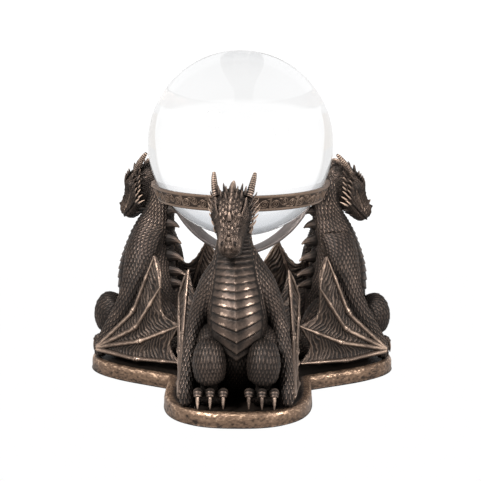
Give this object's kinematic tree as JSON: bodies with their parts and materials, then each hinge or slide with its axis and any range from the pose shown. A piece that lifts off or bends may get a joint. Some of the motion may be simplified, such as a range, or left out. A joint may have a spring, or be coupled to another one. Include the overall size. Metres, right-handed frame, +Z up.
{
  "type": "crystal ball on a stand",
  "caption": "Clear glass ball resting in an engraved ring that is carried on the necks of winged dragon figures standing on a trefoil base.",
  "frame": {"origin": "on the stand's axis, on the underside of the felt sheet", "axes": "+Z up through the ball's centre, -Y towards the front dragon, +X towards the right-hand side seen from the front"},
  "size_m": [0.1876, 0.1714, 0.2004],
  "materials": {
    "clear_glass": "clear polished solid glass",
    "ring_bronze": "cold-cast bronze, brown, rubbed brighter on the raised lines",
    "dragon_bronze": "cold-cast bronze, near-black in the recesses, rubbed copper on the scales",
    "wing_bronze": "cold-cast bronze, dark folded skin and brighter bones",
    "rim_bronze": "cold-cast bronze with a mottled tan and copper rim",
    "felt": "short black felt"
  },
  "bodies": {
    "stand": {"felt_sheet": "felt", "base_plinth": "rim_bronze", "cradle_ring": "ring_bronze", "cradle_hub": "ring_bronze", "cradle_strap_front": "ring_bronze", "cradle_strap_right": "ring_bronze", "cradle_strap_left": "ring_bronze", "dragon_front_body": "dragon_bronze", "dragon_front_head": "dragon_bronze", "dragon_front_wing_left": "wing_bronze", "dragon_front_wing_right": "wing_bronze", "dragon_front_tail": "dragon_bronze", "dragon_right_body": "dragon_bronze", "dragon_right_head": "dragon_bronze", "dragon_right_wing_left": "wing_bronze", "dragon_right_wing_right": "wing_bronze", "dragon_right_tail": "dragon_bronze", "dragon_left_body": "dragon_bronze", "dragon_left_head": "dragon_bronze", "dragon_left_wing_left": "wing_bronze", "dragon_left_wing_right": "wing_bronze", "dragon_left_tail": "dragon_bronze"},
    "ball": {"crystal_ball": "clear_glass"}
  },
  "joints": [
    {"name": "ball_lift", "type": "slide", "parent": "stand", "child": "ball", "axis": [0, 0, 1], "range_m": [0, 0.08]}
  ]
}
